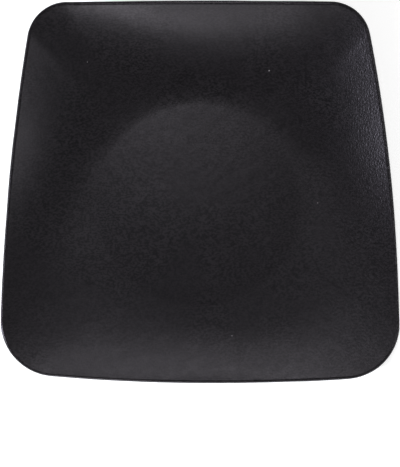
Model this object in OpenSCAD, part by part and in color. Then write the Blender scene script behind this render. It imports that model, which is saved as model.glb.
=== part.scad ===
// Four-sided coupe dinner plate in matte black stoneware: a round well, a bowed rim that
// climbs towards the narrow end, and a low round foot. Millimetres, +Z up, +Y towards the narrow
// end. The origin lies on the table, under the middle of the plate's outline.

/* [Outline] */
// From the origin to the middle of the narrow edge
narrow_reach = 128.4; // [118:0.1:140]
// From the origin to the middle of the wide edge
wide_reach = 128.5; // [118:0.1:140]
// From the origin to each side edge, level with the origin
side_reach = 130; // [120:0.1:142]
// How far the +X side edge leans out towards the wide end, in degrees
right_lean = 5.8; // [3:0.1:8]
// How far the -X side edge does, as the two sides moved differently in firing
left_lean = 5.5; // [3:0.1:8]
// Bow radius of the nearly straight narrow edge
narrow_bow_r = 6400; // [1500:50:8000]
// Bow radius of the +X side edge
right_bow_r = 960; // [800:5:1600]
// Bow radius of the -X side edge
left_bow_r = 1280; // [800:5:1600]
// Bow radius of the wide edge
wide_bow_r = 1295; // [800:5:2000]
// How far the wide edge's bow sits off centre, towards +X
wide_bow_shift = 10; // [0:0.5:16]
// Radius of the two corners at the narrow end
narrow_corner_r = 27.3; // [18:0.1:40]
// Radius of the two corners at the wide end
wide_corner_r = 37.9; // [25:0.1:50]

/* [Rim] */
// Height of the rim over the table where it is lowest
low_rim_h = 14.1; // [12:0.1:18]
// Height of the rim over the table at the middle of the narrow edge
high_rim_h = 37.1; // [30:0.1:46]
// Distance in from the narrow edge over which the rim climbs
climb_run = 195; // [170:1:240]
// How late the climb comes: 1 is a straight ramp, 2 a parabola
climb_power = 1.7; // [1.4:0.05:2.4]
// Thickness of the rim's edge at the sides and the narrow end
rim_t = 3.8; // [3:0.1:5]
// Thickness of the rim's edge at the middle of the wide end
wide_rim_t = 4.5; // [3:0.1:6]
// How late the wall thins towards the rim: 1 is an even taper
thinning_power = 3.3; // [1:0.1:4.5]
// How much higher the wide +X corner of the rim stands, as the fired plate isn't quite true
corner_lift = 2.4; // [0:0.1:4]
// How far round that corner the lift is felt
corner_lift_reach = 43; // [30:1:60]
// How much higher the narrow edge stands at its +X end than at its -X end, for the same reason
narrow_twist = 2.8; // [0:0.1:4]

/* [Well] */
// Thickness of the plate at the edge of its well
well_t = 5.3; // [4:0.1:6]
// How much higher the middle of the well stands than its edge, as it bellied up in firing
well_crown = 0.6; // [0:0.05:1]
// Distance of the well's centre from the origin, towards the wide end
well_back = 7.6; // [0:0.1:12]
// Distance of the well's centre from the origin, towards the -X side
well_left = 1.2; // [0:0.1:3]
// How steeply the dish leaves the well's edge, in degrees
edge_slope = 1; // [0:0.1:3]
// How late the dish climbs out of the well on its way to the narrow edge
narrow_rise_power = 2.05; // [1.4:0.05:2.8]
// How late it climbs on its way to the two corners of the narrow end
narrow_corner_rise_power = 1.7; // [1.4:0.05:2.8]
// How late it climbs on its way to the side edges
side_rise_power = 2.2; // [1.4:0.05:3.2]
// How late it climbs on its way to the wide edge
wide_rise_power = 2.8; // [1.4:0.05:3.4]

/* [Foot] */
// Outer radius of the foot ring
foot_r = 68.5; // [60:0.1:75]
// Width of the foot ring
foot_w = 4.6; // [3:0.1:7]
// Height of the foot ring under the coated base
foot_h = 1.5; // [1.2:0.1:3]
// Radius of the foot ring's lower edges
foot_edge_r = 0.7; // [0.3:0.1:1]

/* [Coats] */
// Thickness of the fired coats
coat_t = 0.5; // [0.3:0.05:0.8]
// Bare clay left beside the foot where the coat was wiped back
wiped_w = 0.6; // [0.3:0.1:1.5]
// How far the black coat wraps round under the rim's edge, in degrees round the edge
wrap_angle = 40; // [20:1:60]
// How far it wraps at the wide end, where it ran lowest
wide_wrap_angle = 66; // [20:1:75]

/* [Hidden] */

// Points along each edge and round each corner, rings over the well and across the rim, and points
// round its nose
edge_steps = 10;
corner_steps = 8;
well_rings = 6;
rings = 14;
wrap_steps = 4;
tuck_steps = 2;
nose_steps = wrap_steps + tuck_steps;
// Rings crowd towards the well and the rim, where the dish bends most
ring_crowding = 0.5;
foot_facets = 128;

well_centre = [-well_left, -well_back];
// The well ends over the wiped band beside the foot
well_r = foot_r + wiped_w;
well_mid_z = foot_h + well_t / 2;

function unit(v) = v / norm(v);
function heading(v) = atan2(v.x, v.y);
function toward(a) = [sin(a), cos(a)];

// The four bowed edges as [centre, radius], clockwise from the narrow one as seen from above
function side_bow(way, lean, r) = [[way * (side_reach - r * cos(lean)), -r * sin(lean)], r];
bows = [
    [[0, narrow_reach - narrow_bow_r], narrow_bow_r],
    side_bow(1, right_lean, right_bow_r),
    [[wide_bow_shift, wide_bow_r - wide_reach], wide_bow_r],
    side_bow(-1, left_lean, left_bow_r)
];
corner_radii = [narrow_corner_r, wide_corner_r, wide_corner_r, narrow_corner_r];

// Centre of the arc of radius r that rounds the corner between bow a and the next one, b
function corner_centre(a, b, r) =
    let (gap = b[0] - a[0], d = norm(gap), ra = a[1] - r, rb = b[1] - r,
         along = (ra * ra - rb * rb + d * d) / (2 * d))
    a[0] + unit(gap) * along + unit([gap.y, -gap.x]) * sqrt(ra * ra - along * along);

// Each corner as [centre, radius, heading where it starts, heading where it ends]
corners = [
    for (k = [0:3])
        let (a = bows[k], b = bows[(k + 1) % 4], r = corner_radii[k], c = corner_centre(a, b, r))
        [c, r, heading(c - a[0]), heading(c - b[0])]
];

// Points of an arc, its start included and its end left to the next arc, each with its normal
function arc(centre, r, start, end, steps) =
    let (turn = end < start ? end - start + 360 : end - start)
    [for (j = [0:steps - 1]) let (u = toward(start + turn * j / steps)) [centre + r * u, u]];

outline = [
    for (k = [0:3])
        let (before = corners[(k + 3) % 4], next = corners[k])
        each concat(
            arc(bows[k][0], bows[k][1], before[3], next[2], edge_steps),
            arc(next[0], next[1], next[2], next[3], corner_steps))
];
rays = len(outline);

// Height of the rim's top over the table at a point of the outline
wide_right_corner = corners[1][0] + wide_corner_r * toward((corners[1][2] + corners[1][3]) / 2);
function rim_h(p) =
    let (climbed = max(0, (p.y - narrow_reach + climb_run) / climb_run),
         across = p.x / (2 * side_reach),
         away = norm(p - wide_right_corner) / corner_lift_reach)
    low_rim_h + (high_rim_h - low_rim_h) * pow(climbed, climb_power)
    + narrow_twist * across * climbed * climbed + corner_lift * exp(-away * away);

// The middle surface of the dish. Each ray runs from the well's edge to the rim.
leads = [for (o = outline) unit(o[0] - well_centre)];
wide_shares = [for (u = leads) pow(max(0, -u.y), 4)];
rim_ts = [for (share = wide_shares) rim_t + (wide_rim_t - rim_t) * share];
rim_mid = [for (i = [0:rays - 1]) outline[i][0] - rim_ts[i] / 2 * outline[i][1]];
narrow_corner_shares = [for (u = leads) u.y > 0 ? pow(abs(2 * u.x * u.y), 4) : 0];
rise_powers = [
    for (i = [0:rays - 1])
        let (u = leads[i],
             end_power = u.y > 0 ? narrow_rise_power : wide_rise_power,
             power = side_rise_power + (end_power - side_rise_power) * u.y * u.y)
        power + (narrow_corner_rise_power - power) * narrow_corner_shares[i]
];
function ring_share(j) = j / rings - ring_crowding * sin(360 * j / rings) / (2 * PI);
mid = [
    for (i = [0:rays - 1])
        let (from = well_centre + well_r * leads[i],
             ramp = tan(edge_slope) * norm(rim_mid[i] - from),
             rise = rim_h(outline[i][0]) - rim_ts[i] / 2 - well_mid_z)
        [for (j = [0:rings])
            let (s = ring_share(j), p = from + (rim_mid[i] - from) * s)
            [p.x, p.y, well_mid_z + ramp * s + (rise - ramp) * pow(s, rise_powers[i])]]
];
function along_rim(i, j) = unit(mid[(i + 1) % rays][j] - mid[(i + rays - 1) % rays][j]);
function up_ray(i, j) = mid[i][min(j + 1, rings)] - mid[i][max(j - 1, 0)];
normals = [
    for (i = [0:rays - 1])
        [for (j = [0:rings]) j == 0 ? [0, 0, 1] : unit(cross(along_rim(i, j), up_ray(i, j)))]
];
noses = [for (i = [0:rays - 1]) unit(cross(normals[i][rings], along_rim(i, rings)))];

// How far the black coat wraps round the nose of a ray, in degrees below its outermost point
function wrap_at(i) = wrap_angle + (wide_wrap_angle - wrap_angle) * wide_shares[i];
function nose_angle(i, m) =
    let (wrap = wrap_at(i))
    m <= wrap_steps ? 90 - (90 + wrap) * m / wrap_steps
                    : -wrap - (90 - wrap) * (m - wrap_steps) / tuck_steps;

// A ray's section at a depth below the coats: over the dish, round the nose and back to the foot.
// Stations below 0 lie on the crown of the well.
last_station = 2 * rings + nose_steps;
glaze_line = rings + wrap_steps;
function dish_point(i, j, side, depth) =
    let (half = (well_t + (rim_ts[i] - well_t) * pow(ring_share(j), thinning_power)) / 2)
    mid[i][j] + side * (half - depth) * normals[i][j];
function nose_point(i, m, depth) =
    let (a = nose_angle(i, m))
    mid[i][rings]
    + (rim_ts[i] / 2 - depth) * (cos(a) * noses[i] + sin(a) * normals[i][rings]);
function crown_point(i, share, depth) =
    let (p = well_centre + well_r * share * leads[i])
    [p.x, p.y, foot_h + well_t + well_crown * (1 - share * share) - depth];
function station(i, k, depth) =
    k < 0 ? crown_point(i, 1 + k / well_rings, depth)
    : k <= rings ? dish_point(i, k, 1, depth)
    : k < rings + nose_steps ? nose_point(i, k - rings, depth)
    : dish_point(i, last_station - k, -1, depth);
function section(i, from, to, depth) = [for (k = [from:to]) station(i, k, depth)];
first_station = 1 - well_rings;

// Skin over the sections, one per ray. From row back_from on, where a coat's section runs back along
// the clay, each four-sided patch is split the other way, so that coat and clay meet face to face.
function strips(rows, closed, back_from) =
    [for (i = [0:rays - 1], k = [0:rows - (closed ? 1 : 2)])
        let (a = i * rows + k, b = i * rows + (k + 1) % rows,
             c = (i + 1) % rays * rows + k, d = (i + 1) % rays * rows + (k + 1) % rows)
        each k < back_from ? [[a, b, d], [a, d, c]] : [[a, b, c], [b, d, c]]];
function flat_cap(rows, k) = [for (i = [0:rays - 1]) i * rows + k];
function reversed(list) = [for (i = [len(list) - 1:-1:0]) list[i]];

module stoneware_body() {
    rows = last_station - first_station + 1;
    points = [for (i = [0:rays - 1]) each section(i, first_station, last_station, coat_t)];
    color([0.42, 0.38, 0.35])
        polyhedron(points, concat(strips(rows, false, rows), [flat_cap(rows, 0)],
                                  [reversed(flat_cap(rows, rows - 1))]));
}

module foot_ring() {
    height = foot_h + coat_t;
    inner_r = foot_r - foot_w;
    color([0.50, 0.46, 0.42])
        translate(well_centre)
        rotate_extrude($fn = foot_facets) {
            translate([inner_r, foot_edge_r]) square([foot_w, height - foot_edge_r]);
            translate([inner_r + foot_edge_r, 0]) square([foot_w - 2 * foot_edge_r, height]);
            for (x = [inner_r + foot_edge_r, foot_r - foot_edge_r])
                translate([x, foot_edge_r]) circle(foot_edge_r, $fn = 24);
        }
}

// Black coat: its face, then back along the clay. The caps close it in the middle of the well.
module top_glaze() {
    rows = 2 * (glaze_line - first_station + 1);
    points = [for (i = [0:rays - 1])
        each concat(section(i, first_station, glaze_line, 0),
                    reversed(section(i, first_station, glaze_line, coat_t)))];
    color([0.13, 0.12, 0.14])
        polyhedron(points, concat(strips(rows, false, rows / 2), [flat_cap(rows, 0)],
                                  [reversed(flat_cap(rows, rows - 1))]));
}

// Grey coat under the rim, a closed band from the black coat's edge to the wiped clay by the foot
module underside_glaze() {
    rows = 2 * (last_station - glaze_line + 1);
    points = [for (i = [0:rays - 1])
        each concat(section(i, glaze_line, last_station, 0),
                    reversed(section(i, glaze_line, last_station, coat_t)))];
    color([0.48, 0.45, 0.43]) polyhedron(points, strips(rows, true, rows / 2));
}

module base_glaze() {
    color([0.48, 0.45, 0.43])
        translate([well_centre.x, well_centre.y, foot_h])
        cylinder(h = coat_t, r = foot_r - foot_w - wiped_w, $fn = foot_facets);
}

stoneware_body();
foot_ring();
top_glaze();
underside_glaze();
base_glaze();
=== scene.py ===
"""Looks of the matte black four-sided plate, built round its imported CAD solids.
Metres, with +Z up and +Y to the plate's narrow end."""
import math

import bpy
import numpy as np
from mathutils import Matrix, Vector

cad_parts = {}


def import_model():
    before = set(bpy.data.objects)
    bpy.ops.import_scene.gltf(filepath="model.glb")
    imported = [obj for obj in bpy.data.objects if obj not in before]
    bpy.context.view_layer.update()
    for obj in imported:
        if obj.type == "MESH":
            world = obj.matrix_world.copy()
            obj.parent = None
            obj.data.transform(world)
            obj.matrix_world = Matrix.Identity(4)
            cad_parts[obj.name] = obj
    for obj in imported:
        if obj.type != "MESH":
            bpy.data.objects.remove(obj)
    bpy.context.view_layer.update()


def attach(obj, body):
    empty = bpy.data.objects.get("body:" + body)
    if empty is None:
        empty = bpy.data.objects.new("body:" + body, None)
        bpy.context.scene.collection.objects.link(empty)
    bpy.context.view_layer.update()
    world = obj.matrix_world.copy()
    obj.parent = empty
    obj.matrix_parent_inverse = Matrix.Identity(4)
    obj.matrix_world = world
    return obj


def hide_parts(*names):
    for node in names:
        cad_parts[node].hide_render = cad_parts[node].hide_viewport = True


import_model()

# The plate's sizes, as part.scad has them
NARROW_REACH = 0.1284
WIDE_REACH = 0.1285
SIDE_REACH = 0.130
RIGHT_LEAN = math.radians(5.8)
LEFT_LEAN = math.radians(5.5)
NARROW_BOW_R = 6.4
RIGHT_BOW_R = 0.96
LEFT_BOW_R = 1.28
WIDE_BOW_R = 1.295
WIDE_BOW_SHIFT = 0.010
NARROW_CORNER_R = 0.0273
WIDE_CORNER_R = 0.0379
LOW_RIM_H = 0.0141
HIGH_RIM_H = 0.0371
CLIMB_RUN = 0.195
CLIMB_POWER = 1.7
RIM_T = 0.0038
WIDE_RIM_T = 0.0045
THINNING_POWER = 3.3
CORNER_LIFT = 0.0024
CORNER_LIFT_REACH = 0.043
NARROW_TWIST = 0.0028
NARROW_TWIST_POWER = 2
WELL_T = 0.0053
WELL_CROWN = 0.0006
WELL_BACK = 0.0076
WELL_LEFT = 0.0012
EDGE_SLOPE = math.radians(1)
NARROW_RISE_POWER = 2.05
NARROW_CORNER_RISE_POWER = 1.7
SIDE_RISE_POWER = 2.2
WIDE_RISE_POWER = 2.8
SHARE_POWER = 4
FOOT_R = 0.0685
FOOT_W = 0.0046
FOOT_H = 0.0015
FOOT_EDGE_R = 0.0007
COAT_T = 0.0005
WIPED_W = 0.0006
BASE_EDGE_R = 0.0004
WRAP = math.radians(40)
WIDE_WRAP = math.radians(66)

WELL_CENTRE = np.array([-WELL_LEFT, -WELL_BACK])
WELL_R = FOOT_R + WIPED_W
WELL_MID_Z = FOOT_H + WELL_T / 2

# How finely the meshes follow those curves
EDGE_STEPS = 72
CORNER_STEPS = 44
DISH_RINGS = 60
BACK_RINGS = 20
WELL_RINGS = 42
NOSE_STEPS = 18
TUCK_STEPS = 8
RING_CROWDING = 0.5
TURN_STEPS = 256
FOOT_WALL_STEPS = 3
FOOT_BEND_STEPS = 6
BASE_BEND_STEPS = 5
BASE_RINGS = 30

# How finely the hidden faces follow them, where a coat lies on the clay
UNDER_NOSE_STEPS = 6
UNDER_TUCK_STEPS = 4
CLAY_NOSE_STEPS = 10
UNDER_WELL_SKIP = 6

# Relief of the fired coats: slow waves of the wall, and the orange peel of the glaze. Each wave's pitch is
# its length times a number from WAVE_SPREAD
WAVE_COUNT = 28
WAVE_SPREAD = (0.7, 1.6)
WAVE_LENGTH = 0.060
WAVE_H = 0.00008
PEEL_LENGTH = 0.008
PEEL_H = 0.000012
RELIEF_LIMIT = 0.00012
INSET = 0.00014
GLAZE_LINE_WOBBLE = math.radians(3.5)
GLAZE_LINE_WAVE = 0.045

# Colours, linear. A pair is the two ends of a mottle
BLACK = ((0.0084, 0.0072, 0.0082), (0.0104, 0.0091, 0.0103))
BLACK_GRAIN = (0.0008, 0.0007, 0.0009)
BLACK_TINT = (1.0, 0.95, 1.05)
PALE_SPECK = (0.30, 0.28, 0.29)
TAUPE = ((0.455, 0.424, 0.396), (0.550, 0.516, 0.486))
DARK_SPECK = (0.07, 0.06, 0.055)
# Dark colour near the rim on the coat under it: the black coat's overspray together with painted shade
OVERSPRAY_AND_PAINTED_SHADE = (0.042, 0.039, 0.042)
GLAZE_LINE_BLACK = (0.014, 0.013, 0.017)
BODY_CLAY = ((0.15, 0.125, 0.105), (0.20, 0.17, 0.145))
FOOT_CLAY = ((0.20, 0.17, 0.145), (0.27, 0.235, 0.20))

# Noise runs from 0 to 1: its middle, and the part of its range over which it turns from one value to another
NOISE_MIDDLE = 0.5
MOTTLE_RANGE = (0.3, 0.7)
BROAD_RANGE = (0.25, 0.75)

# Pale specks in the black glaze as (x, y, radius, how far they cover it), where the photograph shows them
SPECKS = [
    (0.0466, 0.0833, 0.0006, 0.56),
    (-0.0761, 0.0888, 0.0004, 0.60),
    (0.0798, -0.0062, 0.0004, 0.50),
    (0.0215, -0.0964, 0.0005, 0.35),
]

# Where the black glaze is grainiest, on the well's -X side: the middle, and from where to where it fades
GRAINY_SPOT = (-0.055, -0.022)
GRAINY_FADE = (0.018, 0.050)

# Where its pebbles stand out, on the +X slope: from where to where they grow along X and along Y
PEBBLED_X = (0.078, 0.112)
PEBBLED_Y = (-0.080, -0.020)

# How far the darkening of the coat under the rim reaches from the black coat's edge: partly the black coat's
# overspray, partly painted shade that leaves the coat lighter towards the foot
OVERSPRAY_AND_SHADE_FADE = (0.003, 0.045)


def unit(v):
    return v / np.linalg.norm(v, axis=-1, keepdims=True)


def toward(heading):
    return np.stack([np.sin(heading), np.cos(heading)], axis=-1)


def heading(v):
    return math.atan2(v[0], v[1])


# The outline: four bowed edges joined by four corner arcs

def side_bow(way, lean, r):
    """The edge on the +X side (way 1) or the -X side (way -1)."""
    return np.array([way * (SIDE_REACH - r * math.cos(lean)), -r * math.sin(lean)]), r


def bows():
    """The four edges as (centre, radius), clockwise from the narrow one as seen from above."""
    return [
        (np.array([0.0, NARROW_REACH - NARROW_BOW_R]), NARROW_BOW_R),
        side_bow(1, RIGHT_LEAN, RIGHT_BOW_R),
        (np.array([WIDE_BOW_SHIFT, WIDE_BOW_R - WIDE_REACH]), WIDE_BOW_R),
        side_bow(-1, LEFT_LEAN, LEFT_BOW_R),
    ]


def corner(a, b, r):
    """(centre, radius, heading where it starts, heading where it ends) of the arc between two edges."""
    gap = b[0] - a[0]
    across = np.linalg.norm(gap)
    ra = a[1] - r
    rb = b[1] - r
    along = (ra * ra - rb * rb + across * across) / (2 * across)
    side = np.array([gap[1], -gap[0]]) / across
    centre = a[0] + gap / across * along + side * math.sqrt(ra * ra - along * along)
    return centre, r, heading(centre - a[0]), heading(centre - b[0])


def arc(centre, r, start, end, steps):
    turn = (end - start) % (2 * math.pi)
    out = toward(start + turn * np.arange(steps) / steps)
    return centre + r * out, out


def outline():
    """Points of the outline and their outward normals, and the middle of the wide +X corner."""
    edges = bows()
    radii = [NARROW_CORNER_R, WIDE_CORNER_R, WIDE_CORNER_R, NARROW_CORNER_R]
    corners = [corner(edges[k], edges[(k + 1) % 4], radii[k]) for k in range(4)]
    pieces = []
    for k in range(4):
        centre, r, start, end = corners[k]
        pieces.append(arc(*edges[k], corners[k - 1][3], start, EDGE_STEPS))
        pieces.append(arc(centre, r, start, end, CORNER_STEPS))
    centre, r, start, end = corners[1]
    lifted = centre + r * toward((start + end) / 2)
    return np.concatenate([p for p, _ in pieces]), np.concatenate([n for _, n in pieces]), lifted


# The wall: a middle surface that runs from the well's edge to the rim, and its thickness

def rim_height(points, lifted):
    climbed = np.maximum(0, (points[:, 1] - NARROW_REACH + CLIMB_RUN) / CLIMB_RUN)
    across = points[:, 0] / (2 * SIDE_REACH)
    away = np.linalg.norm(points - lifted, axis=1) / CORNER_LIFT_REACH
    return (
        LOW_RIM_H
        + (HIGH_RIM_H - LOW_RIM_H) * climbed**CLIMB_POWER
        + NARROW_TWIST * across * climbed**NARROW_TWIST_POWER
        + CORNER_LIFT * np.exp(-(away**2))
    )


RIM, RIM_OUT, LIFTED_CORNER = outline()
RAYS = len(RIM)
LEADS = unit(RIM - WELL_CENTRE)
WIDE_SHARES = np.maximum(0, -LEADS[:, 1]) ** SHARE_POWER
RIM_TS = RIM_T + (WIDE_RIM_T - RIM_T) * WIDE_SHARES
RISES = rim_height(RIM, LIFTED_CORNER) - RIM_TS / 2 - WELL_MID_Z
END_POWERS = np.where(LEADS[:, 1] > 0, NARROW_RISE_POWER, WIDE_RISE_POWER)
EDGE_POWERS = SIDE_RISE_POWER + (END_POWERS - SIDE_RISE_POWER) * LEADS[:, 1] ** 2
CORNER_LEADS = np.abs(2 * LEADS[:, 0] * LEADS[:, 1])
NARROW_CORNER_SHARES = np.where(LEADS[:, 1] > 0, CORNER_LEADS**SHARE_POWER, 0)
RISE_POWERS = EDGE_POWERS + (NARROW_CORNER_RISE_POWER - EDGE_POWERS) * NARROW_CORNER_SHARES


class Wall:
    """The wall on a grid of rays by rings: its middle, its normals and half its thickness."""

    def __init__(self, rings):
        x = np.arange(rings + 1) / rings
        share = x - RING_CROWDING * np.sin(2 * math.pi * x) / (2 * math.pi)
        start = WELL_CENTRE + WELL_R * LEADS
        run = RIM - RIM_TS[:, None] / 2 * RIM_OUT - start
        flat = start[:, None] + run[:, None] * share[None, :, None]
        ramp = math.tan(EDGE_SLOPE) * np.linalg.norm(run, axis=1)[:, None]
        z = WELL_MID_Z + ramp * share + (RISES[:, None] - ramp) * share ** RISE_POWERS[:, None]
        self.rings = rings
        self.middle = np.concatenate([flat, z[..., None]], axis=2)
        self.half = (WELL_T + (RIM_TS[:, None] - WELL_T) * share**THINNING_POWER) / 2
        along = np.roll(self.middle, -1, axis=0) - np.roll(self.middle, 1, axis=0)
        up = np.gradient(self.middle, share, axis=1)
        self.normals = unit(np.cross(along, up))
        self.normals[:, 0] = [0, 0, 1]
        self.noses = unit(np.cross(self.normals[:, -1], along[:, -1]))

    def face(self, ring, side, depth):
        """Points of one ring on the upper face (side 1) or the lower one (side -1), at a depth under it."""
        reach = (self.half[:, ring] - depth)[:, None]
        return self.middle[:, ring] + side * reach * self.normals[:, ring]

    def nose(self, angle, depth):
        """Points round the rim's edge at an angle to its outermost point, one angle for each ray."""
        reach = (self.half[:, -1] - depth)[:, None]
        out = np.cos(angle)[:, None] * self.noses + np.sin(angle)[:, None] * self.normals[:, -1]
        return self.middle[:, -1] + reach * out


def waves(points, length, height, seed):
    """A smooth random field over points: plane waves of about one length in seeded directions."""
    rng = np.random.default_rng(seed)
    total = np.zeros(points.shape[:-1])
    for _ in range(WAVE_COUNT):
        way = unit(rng.normal(size=3))
        pitch = length * rng.uniform(*WAVE_SPREAD)
        total += np.sin(points @ way * (2 * math.pi / pitch) + rng.uniform(0, 2 * math.pi))
    return height * total * math.sqrt(2 / WAVE_COUNT)


def set_in(relief):
    """The relief kept within its limit and under the CAD's surface, as a column."""
    return (np.clip(relief, -RELIEF_LIMIT, RELIEF_LIMIT) - INSET)[:, None]


def relieved(rows, normals):
    """Rows of points moved along their normals by the coat's relief."""
    moved = []
    for points, normal in zip(rows, normals):
        relief = waves(points, WAVE_LENGTH, WAVE_H, seed=3) + waves(points, PEEL_LENGTH, PEEL_H, seed=5)
        moved.append(points + normal * set_in(relief))
    return moved


def skin(name, rows, closed=False, tags=None):
    """A closed mesh over rows of points, one point of each row on each ray. Unless the last row joins the
    first, a fan closes each end. tags are named numbers, one for each point, for the materials to read."""
    count = len(rows)
    n = len(rows[0])
    points = np.concatenate(rows)
    i = np.arange(n)
    after = (i + 1) % n
    quads = []
    for k in range(count if closed else count - 1):
        a = k * n
        b = (k + 1) % count * n
        quads.append(np.stack([a + i, b + i, b + after, a + after], axis=1))
    faces = np.concatenate(quads).tolist()
    if not closed:
        first = len(points)
        points = np.concatenate([points, [rows[0].mean(axis=0)], [rows[-1].mean(axis=0)]])
        last_row = (count - 1) * n
        faces += np.stack([i, after, np.full(n, first)], axis=1).tolist()
        faces += np.stack([last_row + after, last_row + i, np.full(n, first + 1)], axis=1).tolist()
    mesh = bpy.data.meshes.new(name)
    mesh.from_pydata(points.tolist(), [], faces)
    mesh.update()
    mesh.polygons.foreach_set("use_smooth", np.ones(len(mesh.polygons), dtype=bool))
    for tag, values in (tags or {}).items():
        values = np.concatenate(values)
        if not closed:
            values = np.append(values, [values[0], values[-1]])
        attribute = mesh.attributes.new(tag, "FLOAT", "POINT")
        attribute.data.foreach_set("value", values.astype(np.float32))
    piece = bpy.data.objects.new(name, mesh)
    bpy.context.scene.collection.objects.link(piece)
    return piece


# Pieces

FINE = Wall(DISH_RINGS)
BACK = Wall(BACK_RINGS)
GLAZE_LINE = WRAP + (WIDE_WRAP - WRAP) * WIDE_SHARES
GLAZE_LINE = GLAZE_LINE + waves(FINE.middle[:, -1], GLAZE_LINE_WAVE, GLAZE_LINE_WOBBLE, seed=11)
QUARTER = np.full(RAYS, math.pi / 2)


def well_rows(z, crown, radii):
    """Round rows over the well, one at each radius. z is the height of the well's edge, and crown how much
    higher its middle stands."""
    return [
        np.column_stack([WELL_CENTRE + r * LEADS, np.full(RAYS, z + crown * (1 - (r / WELL_R) ** 2))])
        for r in radii
    ]


def well_radii():
    """Radii of the fine rows over the well, from the middle out."""
    return WELL_R * np.arange(1, WELL_RINGS) / WELL_RINGS


def under_radii():
    """Radii of the hidden faces' rows over the well, from its edge in."""
    return well_radii()[::-UNDER_WELL_SKIP]


def nose_angles(start, end, steps):
    """Angles round the rim's edge, each an array over the rays."""
    return [start + (end - start) * k / steps for k in range(1, steps + 1)]


def top_glaze():
    """The black coat, from the middle of the well round the rim's edge to the glaze line."""
    up = np.tile([0.0, 0.0, 1.0], (RAYS, 1))
    top_z = FOOT_H + WELL_T
    rows = well_rows(top_z, WELL_CROWN, well_radii())
    normals = [up] * len(rows)
    for ring in range(DISH_RINGS + 1):
        rows.append(FINE.face(ring, 1, 0))
        normals.append(FINE.normals[:, ring])
    rim_share = [np.zeros(RAYS)] * len(rows)
    for angle in nose_angles(QUARTER, -GLAZE_LINE, NOSE_STEPS):
        points = FINE.nose(angle, 0)
        rows.append(points)
        normals.append(unit(points - FINE.middle[:, -1]))
        rim_share.append((QUARTER - angle) / QUARTER)
    rows = relieved(rows, normals)
    under = [FINE.nose(a, COAT_T) for a in nose_angles(QUARTER, -GLAZE_LINE, UNDER_NOSE_STEPS)[::-1]]
    under += [BACK.face(ring, 1, COAT_T) for ring in range(BACK_RINGS, -1, -1)]
    under += well_rows(top_z - COAT_T, WELL_CROWN, under_radii())
    rim_share += [np.zeros(RAYS)] * len(under)
    return skin("top_coat", rows + under, tags={"rim_share": rim_share})


def underside_glaze():
    """The band under the rim, from the black coat's edge to the wiped clay beside the foot."""
    line = FINE.nose(-GLAZE_LINE, 0)
    rows = [line]
    normals = [unit(line - FINE.middle[:, -1])]
    for angle in nose_angles(-GLAZE_LINE, -QUARTER, TUCK_STEPS):
        points = FINE.nose(angle, 0)
        rows.append(points)
        normals.append(unit(points - FINE.middle[:, -1]))
    for ring in range(DISH_RINGS - 1, -1, -1):
        rows.append(FINE.face(ring, -1, 0))
        normals.append(-FINE.normals[:, ring])
    from_line = [np.zeros(RAYS)]
    for before, here in zip(rows, rows[1:]):
        from_line.append(from_line[-1] + np.linalg.norm(here - before, axis=1))
    rows = relieved(rows, normals)
    under = [BACK.face(ring, -1, COAT_T) for ring in range(BACK_RINGS + 1)]
    under += [FINE.nose(a, COAT_T) for a in nose_angles(-QUARTER, -GLAZE_LINE, UNDER_TUCK_STEPS)]
    from_line += [np.zeros(RAYS)] * len(under)
    return skin("underside_coat", rows + under, closed=True, tags={"from_line": from_line})


def clay_body():
    """The clay under the coats, which shows only beside the foot."""
    rows = well_rows(FOOT_H + WELL_T - COAT_T, WELL_CROWN, under_radii()[::-1])
    rows += [BACK.face(ring, 1, COAT_T) for ring in range(BACK_RINGS + 1)]
    rows += [FINE.nose(a, COAT_T) for a in nose_angles(QUARTER, -QUARTER, CLAY_NOSE_STEPS)]
    rows += [BACK.face(ring, -1, COAT_T) for ring in range(BACK_RINGS - 1, -1, -1)]
    rows += well_rows(FOOT_H + COAT_T, 0, under_radii())
    return skin("clay_body", rows)


def turned(profile, way):
    """Rows of a profile of (radius, height) points turned about the well's centre, way 1 or -1 round."""
    turn = way * 2 * math.pi * np.arange(TURN_STEPS) / TURN_STEPS
    out = np.stack([np.cos(turn), np.sin(turn)], axis=1)
    return [np.column_stack([WELL_CENTRE + r * out, np.full(TURN_STEPS, z)]) for r, z in profile]


def bend(wall, floor_z, r, steps, side=1):
    """Profile of a quarter round from a flat face to the wall outside it (side 1) or inside it (side -1)."""
    return [
        (wall - side * r * (1 - math.sin(a)), floor_z + r * (1 - math.cos(a)))
        for a in np.linspace(0, math.pi / 2, steps + 1)
    ]


def foot_ring():
    """The bare foot, its lower edges rubbed round."""
    inner = FOOT_R - FOOT_W
    top = FOOT_H + COAT_T
    heights = [top - (top - FOOT_EDGE_R) * k / FOOT_WALL_STEPS for k in range(FOOT_WALL_STEPS)]
    profile = [(inner, z) for z in heights]
    profile += bend(inner, 0, FOOT_EDGE_R, FOOT_BEND_STEPS, side=-1)[::-1]
    profile += bend(FOOT_R, 0, FOOT_EDGE_R, FOOT_BEND_STEPS)
    profile += [(FOOT_R, z) for z in heights[::-1]]
    return skin("foot", turned(profile, -1), closed=True)


def base_glaze():
    """The patch of coat in the recess inside the foot, its edge rounded where it was wiped."""
    reach = FOOT_R - FOOT_W - WIPED_W
    profile = [(reach * k / BASE_RINGS, FOOT_H) for k in range(1, BASE_RINGS)]
    profile += bend(reach, FOOT_H, BASE_EDGE_R, BASE_BEND_STEPS)
    profile += [(reach, FOOT_H + COAT_T)]
    rows = turned(profile, 1)
    up = np.array([0.0, 0.0, 1.0])
    lower = [row + up * set_in(waves(row, WAVE_LENGTH, WAVE_H, seed=7)) for row in rows[:-1]]
    # Beyond the reach of the overspray and painted shade, so the recess inside the foot gets none of it
    past_overspray_and_shade = [np.full(TURN_STEPS, 2 * OVERSPRAY_AND_SHADE_FADE[1])] * len(rows)
    return skin("base_coat", lower + rows[-1:], tags={"from_line": past_overspray_and_shade})


# Materials

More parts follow.
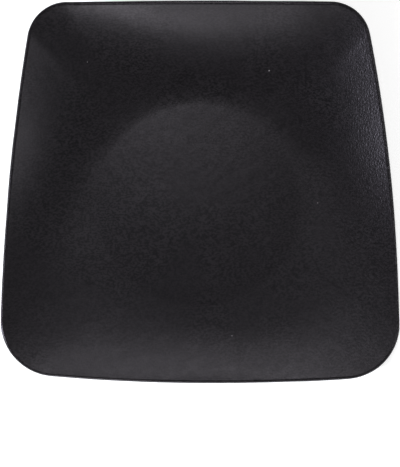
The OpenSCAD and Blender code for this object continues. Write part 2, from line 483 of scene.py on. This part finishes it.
class Nodes:
    """A material's node tree, with a short way to add and link nodes."""

    def __init__(self, name):
        self.material = bpy.data.materials.new(name)
        self.material.use_nodes = True
        self.tree = self.material.node_tree
        self.shader = self.tree.nodes["Principled BSDF"]
        self.place = self.add("ShaderNodeTexCoord").outputs["Object"]

    def add(self, kind, **settings):
        made = self.tree.nodes.new(kind)
        for key, value in settings.items():
            setattr(made, key, value)
        return made

    def link(self, source, socket):
        if isinstance(source, bpy.types.NodeSocket):
            self.tree.links.new(source, socket)
        else:
            socket.default_value = source

    def math(self, operation, a, b=0.0, c=0.0):
        made = self.add("ShaderNodeMath", operation=operation)
        for source, socket in zip((a, b, c), made.inputs):
            self.link(source, socket)
        return made.outputs[0]

    def noise(self, size, detail=2.0, roughness=0.5, stretch=(1, 1, 1)):
        """Noise whose blotches are about as wide as size, times the stretch along each axis."""
        spread = self.add("ShaderNodeMapping")
        self.link(self.place, spread.inputs["Vector"])
        spread.inputs["Scale"].default_value = [1 / (size * s) for s in stretch]
        made = self.add("ShaderNodeTexNoise")
        self.link(spread.outputs[0], made.inputs["Vector"])
        made.inputs["Scale"].default_value = 1
        made.inputs["Detail"].default_value = detail
        made.inputs["Roughness"].default_value = roughness
        return made.outputs["Fac"]

    def cells(self, size):
        """How far the surface is from the middle of its cell, as a share of the cells' size."""
        made = self.add("ShaderNodeTexVoronoi")
        self.link(self.place, made.inputs["Vector"])
        made.inputs["Scale"].default_value = 1 / size
        return made.outputs["Distance"]

    def ramp(self, value, span, out=(0.0, 1.0)):
        """Turns softly from the first number of out to the second while the value crosses the span."""
        made = self.add("ShaderNodeMapRange", interpolation_type="SMOOTHSTEP")
        names = ("Value", "From Min", "From Max", "To Min", "To Max")
        for name, source in zip(names, (value, *span, *out)):
            self.link(source, made.inputs[name])
        return made.outputs[0]

    def blend(self, share, a, b):
        made = self.add("ShaderNodeMix", data_type="RGBA")
        self.link(share, made.inputs["Factor"])
        for source, socket in ((a, made.inputs["A"]), (b, made.inputs["B"])):
            self.link(source if isinstance(source, bpy.types.NodeSocket) else (*source, 1), socket)
        return made.outputs["Result"]

    def away_from(self, x, y):
        """How far the surface is from a point, as seen from above."""
        flat = self.add("ShaderNodeVectorMath", operation="MULTIPLY")
        self.link(self.place, flat.inputs[0])
        flat.inputs[1].default_value = (1, 1, 0)
        apart = self.add("ShaderNodeVectorMath", operation="DISTANCE")
        self.link(flat.outputs["Vector"], apart.inputs[0])
        apart.inputs[1].default_value = (x, y, 0)
        return apart.outputs["Value"]

    def tag(self, name):
        return self.add("ShaderNodeAttribute", attribute_name=name).outputs["Fac"]

    def bump(self, height, depth):
        made = self.add("ShaderNodeBump")
        made.inputs["Strength"].default_value = 1
        made.inputs["Distance"].default_value = depth
        self.link(height, made.inputs["Height"])
        return made.outputs["Normal"]


def black_glaze():
    """Matte black glaze: a fine grain that is stronger in patches, pebbles that stand out on the +X slope,
    a few pale specks, and a glossier, thinner coat on the rim."""
    mottle_size = 0.014
    grain_size = 0.0011
    grain_stretch = (1.6, 1, 1)
    grain_range = (0.35, 0.65)
    patch_size = 0.045
    patch_range = (0.42, 0.60)
    patch_grain = (0.6, 1.1)
    spot_grain = 3.0
    speck_core = 0.5
    pebble_size = 0.0010
    pebble_stretch = (1, 1.6, 1)
    pebble_depth = 0.00032
    pebbles_everywhere = 0.13
    pebbles_on_slope = 0.50
    low_end_share = 0.25
    rough_size = 0.006
    roughness = (0.29, 0.33)
    slope_roughness = 0.055
    rim_gloss = 0.08
    rim_range = (0.0, 0.5)

    m = Nodes("black_glaze")
    mottle = m.noise(mottle_size, detail=3.0, roughness=0.6)
    light = m.blend(m.ramp(mottle, MOTTLE_RANGE), *BLACK)
    patches = m.ramp(m.noise(patch_size, detail=1.0), patch_range, patch_grain)
    patches = m.math("ADD", patches, m.ramp(m.away_from(*GRAINY_SPOT), GRAINY_FADE, (spot_grain, 0.0)))
    grain = m.ramp(m.noise(grain_size, detail=1.0, stretch=grain_stretch), grain_range)
    grain = m.math("SUBTRACT", grain, NOISE_MIDDLE)
    colour = m.blend(m.math("MULTIPLY_ADD", grain, patches, NOISE_MIDDLE), BLACK_GRAIN, light)
    for x, y, r, cover in SPECKS:
        covered = m.ramp(m.away_from(x, y), (speck_core * r, r), (cover, 0.0))
        colour = m.blend(covered, colour, PALE_SPECK)
    m.link(colour, m.shader.inputs["Base Color"])

    axes = m.add("ShaderNodeSeparateXYZ")
    m.link(m.place, axes.inputs[0])
    along = m.ramp(axes.outputs["Y"], PEBBLED_Y, (low_end_share, 1.0))
    slope = m.math("MULTIPLY", m.ramp(axes.outputs["X"], PEBBLED_X), along)
    pebbled = m.math("MULTIPLY_ADD", slope, pebbles_on_slope, pebbles_everywhere)
    pebbles = m.noise(pebble_size, detail=1.0, stretch=pebble_stretch)
    pebbles = m.math("SUBTRACT", pebbles, NOISE_MIDDLE)
    m.link(m.bump(m.math("MULTIPLY", pebbles, pebbled), pebble_depth), m.shader.inputs["Normal"])

    rough = m.ramp(m.noise(rough_size), BROAD_RANGE, roughness)
    rough = m.math("MULTIPLY_ADD", slope, slope_roughness, rough)
    gloss = m.ramp(m.tag("rim_share"), rim_range, (0.0, rim_gloss))
    m.link(m.math("SUBTRACT", rough, gloss), m.shader.inputs["Roughness"])
    m.shader.inputs["Specular IOR Level"].default_value = 0.2
    m.shader.inputs["Specular Tint"].default_value = (*BLACK_TINT, 1)
    m.shader.inputs["Sheen Weight"].default_value = 1.0
    m.shader.inputs["Sheen Roughness"].default_value = 0.35
    return m.material


def taupe_glaze():
    """Satin grey-taupe glaze, darkened near the rim partly where the black coat was sprayed past its edge
    and partly by painted shade, so that it is lighter towards the foot.
    """
    mottle_size = 0.009
    speck_cell = 0.0021
    speck_edge = (0.10, 0.22)
    speck_field = 0.0035
    speck_level = 0.56
    speck_cover = 0.55
    waver_size = 0.012
    waver = 0.004
    spray_and_shade_cover = 0.93
    line_blur = (0.0003, 0.0030)
    rough_size = 0.005
    roughness = (0.38, 0.50)
    relief_size = 0.0024
    relief_depth = 0.00008

    m = Nodes("taupe_glaze")
    mottle = m.noise(mottle_size, detail=4.0, roughness=0.6)
    colour = m.blend(m.ramp(mottle, MOTTLE_RANGE), *TAUPE)
    speck = m.ramp(m.cells(speck_cell), speck_edge, (speck_cover, 0.0))
    few = m.math("GREATER_THAN", m.noise(speck_field, detail=0.0), speck_level)
    colour = m.blend(m.math("MULTIPLY", speck, few), colour, DARK_SPECK)
    wavering = m.math("MULTIPLY_ADD", m.noise(waver_size, detail=3.0), waver, -waver / 2)
    run = m.math("ADD", m.tag("from_line"), wavering)
    # Painted shade together with the overspray: dark near the rim, fading out towards the foot
    colour = m.blend(m.ramp(run, OVERSPRAY_AND_SHADE_FADE, (spray_and_shade_cover, 0.0)), colour, OVERSPRAY_AND_PAINTED_SHADE)
    colour = m.blend(m.ramp(run, line_blur, (1.0, 0.0)), colour, GLAZE_LINE_BLACK)
    m.link(colour, m.shader.inputs["Base Color"])
    m.link(m.ramp(m.noise(rough_size), BROAD_RANGE, roughness), m.shader.inputs["Roughness"])
    m.link(m.bump(m.noise(relief_size), relief_depth), m.shader.inputs["Normal"])
    m.shader.inputs["Specular IOR Level"].default_value = 0.2
    return m.material


def bare_clay(name, dark, light):
    """Unglazed stoneware: a fine grog in a rough, dry face."""
    mottle_size = 0.006
    grog_cell = 0.0012
    grog_edge = (0.12, 0.30)
    grog_cover = 0.6
    grog_shade = 0.45
    roughness = (0.75, 0.9)
    grit_size = 0.0006
    grit_depth = 0.00006

    m = Nodes(name)
    mottle = m.noise(mottle_size, detail=4.0, roughness=0.65)
    colour = m.blend(m.ramp(mottle, MOTTLE_RANGE), dark, light)
    grog = m.ramp(m.cells(grog_cell), grog_edge, (grog_cover, 0.0))
    colour = m.blend(grog, colour, [grog_shade * c for c in dark])
    m.link(colour, m.shader.inputs["Base Color"])
    m.link(m.ramp(mottle, MOTTLE_RANGE, roughness), m.shader.inputs["Roughness"])
    m.link(m.bump(m.noise(grit_size, detail=3.0), grit_depth), m.shader.inputs["Normal"])
    return m.material


def dress(piece, material, node):
    piece.data.materials.append(material)
    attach(piece, "root")
    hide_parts(node)


taupe = taupe_glaze()
dress(top_glaze(), black_glaze(), "top_glaze")
dress(underside_glaze(), taupe, "underside_glaze")
dress(base_glaze(), taupe, "base_glaze")
dress(clay_body(), bare_clay("fired_clay", *BODY_CLAY), "stoneware_body")
dress(foot_ring(), bare_clay("bare_foot", *FOOT_CLAY), "foot_ring")


# Stage, lamps and camera

def floor():
    """A white floor that shows white to the camera, far from the lamps too, and keeps the plate's shadow."""
    half_side = 6.0
    paint = 0.82
    near_and_far = (0.25, 1.3)
    glow = (0.55, 0.85)
    corners = [(x * half_side, y * half_side, 0) for x, y in ((-1, -1), (1, -1), (1, 1), (-1, 1))]
    mesh = bpy.data.meshes.new("floor")
    mesh.from_pydata(corners, [], [(0, 1, 2, 3)])
    made = bpy.data.objects.new("floor", mesh)
    bpy.context.scene.collection.objects.link(made)
    m = Nodes("floor_paint")
    m.shader.inputs["Base Color"].default_value = (paint, paint, paint, 1)
    m.shader.inputs["Roughness"].default_value = 1
    m.shader.inputs["Specular IOR Level"].default_value = 0
    m.shader.inputs["Emission Color"].default_value = (1, 1, 1, 1)
    path = m.add("ShaderNodeLightPath")
    seen = m.math("MAXIMUM", path.outputs["Is Camera Ray"], path.outputs["Is Glossy Ray"])
    away = m.ramp(m.away_from(0, 0), near_and_far, glow)
    m.link(m.math("MULTIPLY", seen, away), m.shader.inputs["Emission Strength"])
    mesh.materials.append(m.material)


# Soft round lamps as azimuth and elevation in degrees, diameter, watts and colour, all as far from the plate
# as LAMP_REACH. Azimuth 0 is +Y and 90 is +X
LAMP_REACH = 1.6
WHITE = (1, 1, 1)
COOL = (0.95, 0.96, 1.06)
LAMPS = {
    "window": (4, 65, 0.24, 2.35, WHITE),
    "window_high": (350, 73, 0.24, 1.15, WHITE),
    "window_top": (336, 81, 0.24, 1.40, WHITE),
    "left_card": (252, 30, 0.38, 26.0, COOL),
    "right_card": (104, 50, 0.34, 3.3, WHITE),
    "front_low_card": (172, 12, 0.34, 1.4, WHITE),
    "front_card": (190, 22, 0.34, 5.6, WHITE),
    "front_right_card": (150, 38, 0.40, 0.9, WHITE),
    "front_high_card": (180, 42, 0.40, 0.22, WHITE),
    "front_left_card": (210, 38, 0.40, 1.0, COOL),
}


def lamp(name, azimuth, elevation, size, watts, colour):
    """A round soft lamp that points at the plate."""
    a = math.radians(azimuth)
    e = math.radians(elevation)
    data = bpy.data.lights.new(name, "AREA")
    data.shape = "DISK"
    data.size = size
    data.energy = watts
    data.color = colour
    made = bpy.data.objects.new(name, data)
    way = Vector((math.sin(a) * math.cos(e), math.cos(a) * math.cos(e), math.sin(e)))
    made.location = way * LAMP_REACH
    made.rotation_euler = way.to_track_quat("Z", "Y").to_euler()
    bpy.context.scene.collection.objects.link(made)


def world(horizon, zenith, horizon_height):
    """White to the camera. To the plate, bright along the horizon and darker from a height upwards."""
    made = bpy.data.worlds.new("studio")
    made.use_nodes = True
    tree = made.node_tree
    add = tree.nodes.new
    place = add("ShaderNodeTexCoord")
    split = add("ShaderNodeSeparateXYZ")
    tree.links.new(place.outputs["Generated"], split.inputs[0])
    level = add("ShaderNodeMapRange")
    level.interpolation_type = "SMOOTHSTEP"
    tree.links.new(split.outputs["Z"], level.inputs["Value"])
    level.inputs["From Max"].default_value = horizon_height
    level.inputs["To Min"].default_value = horizon
    level.inputs["To Max"].default_value = zenith
    path = add("ShaderNodeLightPath")
    seen = add("ShaderNodeMath")
    seen.operation = "MAXIMUM"
    tree.links.new(path.outputs["Is Camera Ray"], seen.inputs[0])
    tree.links.new(level.outputs[0], seen.inputs[1])
    tree.nodes["Background"].inputs["Color"].default_value = (1, 1, 1, 1)
    tree.links.new(seen.outputs[0], tree.nodes["Background"].inputs["Strength"])
    bpy.context.scene.world = made


def camera():
    """Straight above the plate, as the photograph's upper view is. The lens shift leaves the room under the
    plate that the photograph gives its side view."""
    over = (-0.0002, 0.0013)
    height = 1.2
    side_mm = 36.0
    frame_px = 467
    px_per_metre = 1480
    off_px = 41.6
    data = bpy.data.cameras.new("camera")
    data.sensor_width = side_mm
    data.lens = side_mm / frame_px * px_per_metre * (height - LOW_RIM_H)
    data.shift_y = -off_px / frame_px
    made = bpy.data.objects.new("camera", data)
    made.location = (*over, height)
    bpy.context.scene.collection.objects.link(made)
    bpy.context.scene.camera = made


floor()
world(horizon=0.9, zenith=0.15, horizon_height=0.5)
for name, settings in LAMPS.items():
    lamp(name, *settings)
camera()
bpy.context.scene.view_settings.view_transform = "Standard"
